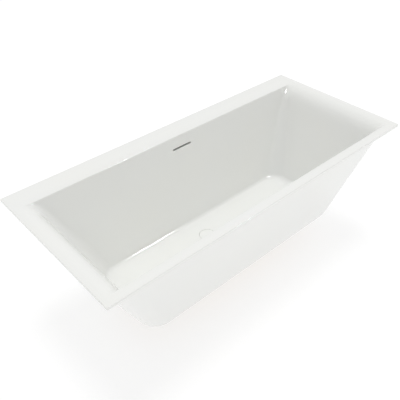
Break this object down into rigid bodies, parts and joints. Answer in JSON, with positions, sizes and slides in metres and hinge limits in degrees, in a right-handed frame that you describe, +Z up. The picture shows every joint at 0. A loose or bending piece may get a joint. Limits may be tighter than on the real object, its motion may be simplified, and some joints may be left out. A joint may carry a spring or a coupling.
{
  "type": "bathtub",
  "caption": "Rectangular double-ended bath with a slim flat rim, wide tap deck, slot overflow, push-open waste, trap and adjustable feet.",
  "frame": {"origin": "centre of the bath's bounding box at floor level, under the foot pads", "axes": "+X along the bath, the way the outlet pipe points; +Y across it, towards the wide tap deck with the overflow; +Z up"},
  "size_m": [1.7, 0.75, 0.62],
  "materials": {
    "bath_white": "high gloss white sanitary acrylic",
    "plywood": "raw birch plywood",
    "galvanised": "galvanised, satin",
    "zinc_plated": "bright zinc plated",
    "chrome": "polished",
    "brass": "machined",
    "rubber": "matt black",
    "black_plastic": "moulded, satin",
    "white_plastic": "moulded, satin",
    "grey_hose": "corrugated hose, satin"
  },
  "bodies": {
    "bath": {"tub_shell": "bath_white", "base_board": "plywood", "foot_rail_left": "galvanised", "foot_rail_right": "galvanised", "rail_nut_near_left": "zinc_plated", "lock_nut_near_left": "zinc_plated", "rail_nut_near_right": "zinc_plated", "lock_nut_near_right": "zinc_plated", "rail_nut_far_left": "zinc_plated", "lock_nut_far_left": "zinc_plated", "rail_nut_far_right": "zinc_plated", "lock_nut_far_right": "zinc_plated", "rail_screw_1": "zinc_plated", "rail_screw_2": "zinc_plated", "rail_screw_3": "zinc_plated", "rail_screw_4": "zinc_plated", "rail_screw_5": "zinc_plated", "rail_screw_6": "zinc_plated", "rail_screw_7": "zinc_plated", "rail_screw_8": "zinc_plated", "clamp_screw": "zinc_plated", "overflow_screw_left": "zinc_plated", "overflow_screw_right": "zinc_plated", "hose_clamp_top": "zinc_plated", "hose_clamp_bottom": "zinc_plated", "click_spring": "zinc_plated", "waste_flange": "chrome", "click_cartridge": "chrome", "clamp_bar": "brass", "flange_gasket": "rubber", "body_gasket": "rubber", "trap_seal": "rubber", "overflow_gasket": "rubber", "waste_body": "black_plastic", "trap_nut": "black_plastic", "outlet_nut": "black_plastic", "overflow_head": "black_plastic", "trap_cup": "white_plastic", "outlet_pipe": "white_plastic", "overflow_hose": "grey_hose"},
    "waste_lid": {"waste_cover": "bath_white", "cover_stem": "chrome", "cover_seal": "rubber"},
    "foot_near_left": {"foot_rod_near_left": "galvanised", "foot_pad_near_left": "rubber"},
    "foot_near_right": {"foot_rod_near_right": "galvanised", "foot_pad_near_right": "rubber"},
    "foot_far_left": {"foot_rod_far_left": "galvanised", "foot_pad_far_left": "rubber"},
    "foot_far_right": {"foot_rod_far_right": "galvanised", "foot_pad_far_right": "rubber"}
  },
  "joints": [
    {"name": "cover_lift", "type": "slide", "parent": "bath", "child": "waste_lid", "axis": [0, 0, 1], "range_m": [0, 0.009], "deforming": ["click_spring"]},
    {"name": "foot_adjust_near_left", "type": "slide", "parent": "bath", "child": "foot_near_left", "axis": [0, 0, -1], "range_m": [0, 0.022]},
    {"name": "foot_adjust_near_right", "type": "slide", "parent": "bath", "child": "foot_near_right", "axis": [0, 0, -1], "range_m": [0, 0.022]},
    {"name": "foot_adjust_far_left", "type": "slide", "parent": "bath", "child": "foot_far_left", "axis": [0, 0, -1], "range_m": [0, 0.022]},
    {"name": "foot_adjust_far_right", "type": "slide", "parent": "bath", "child": "foot_far_right", "axis": [0, 0, -1], "range_m": [0, 0.022]}
  ]
}
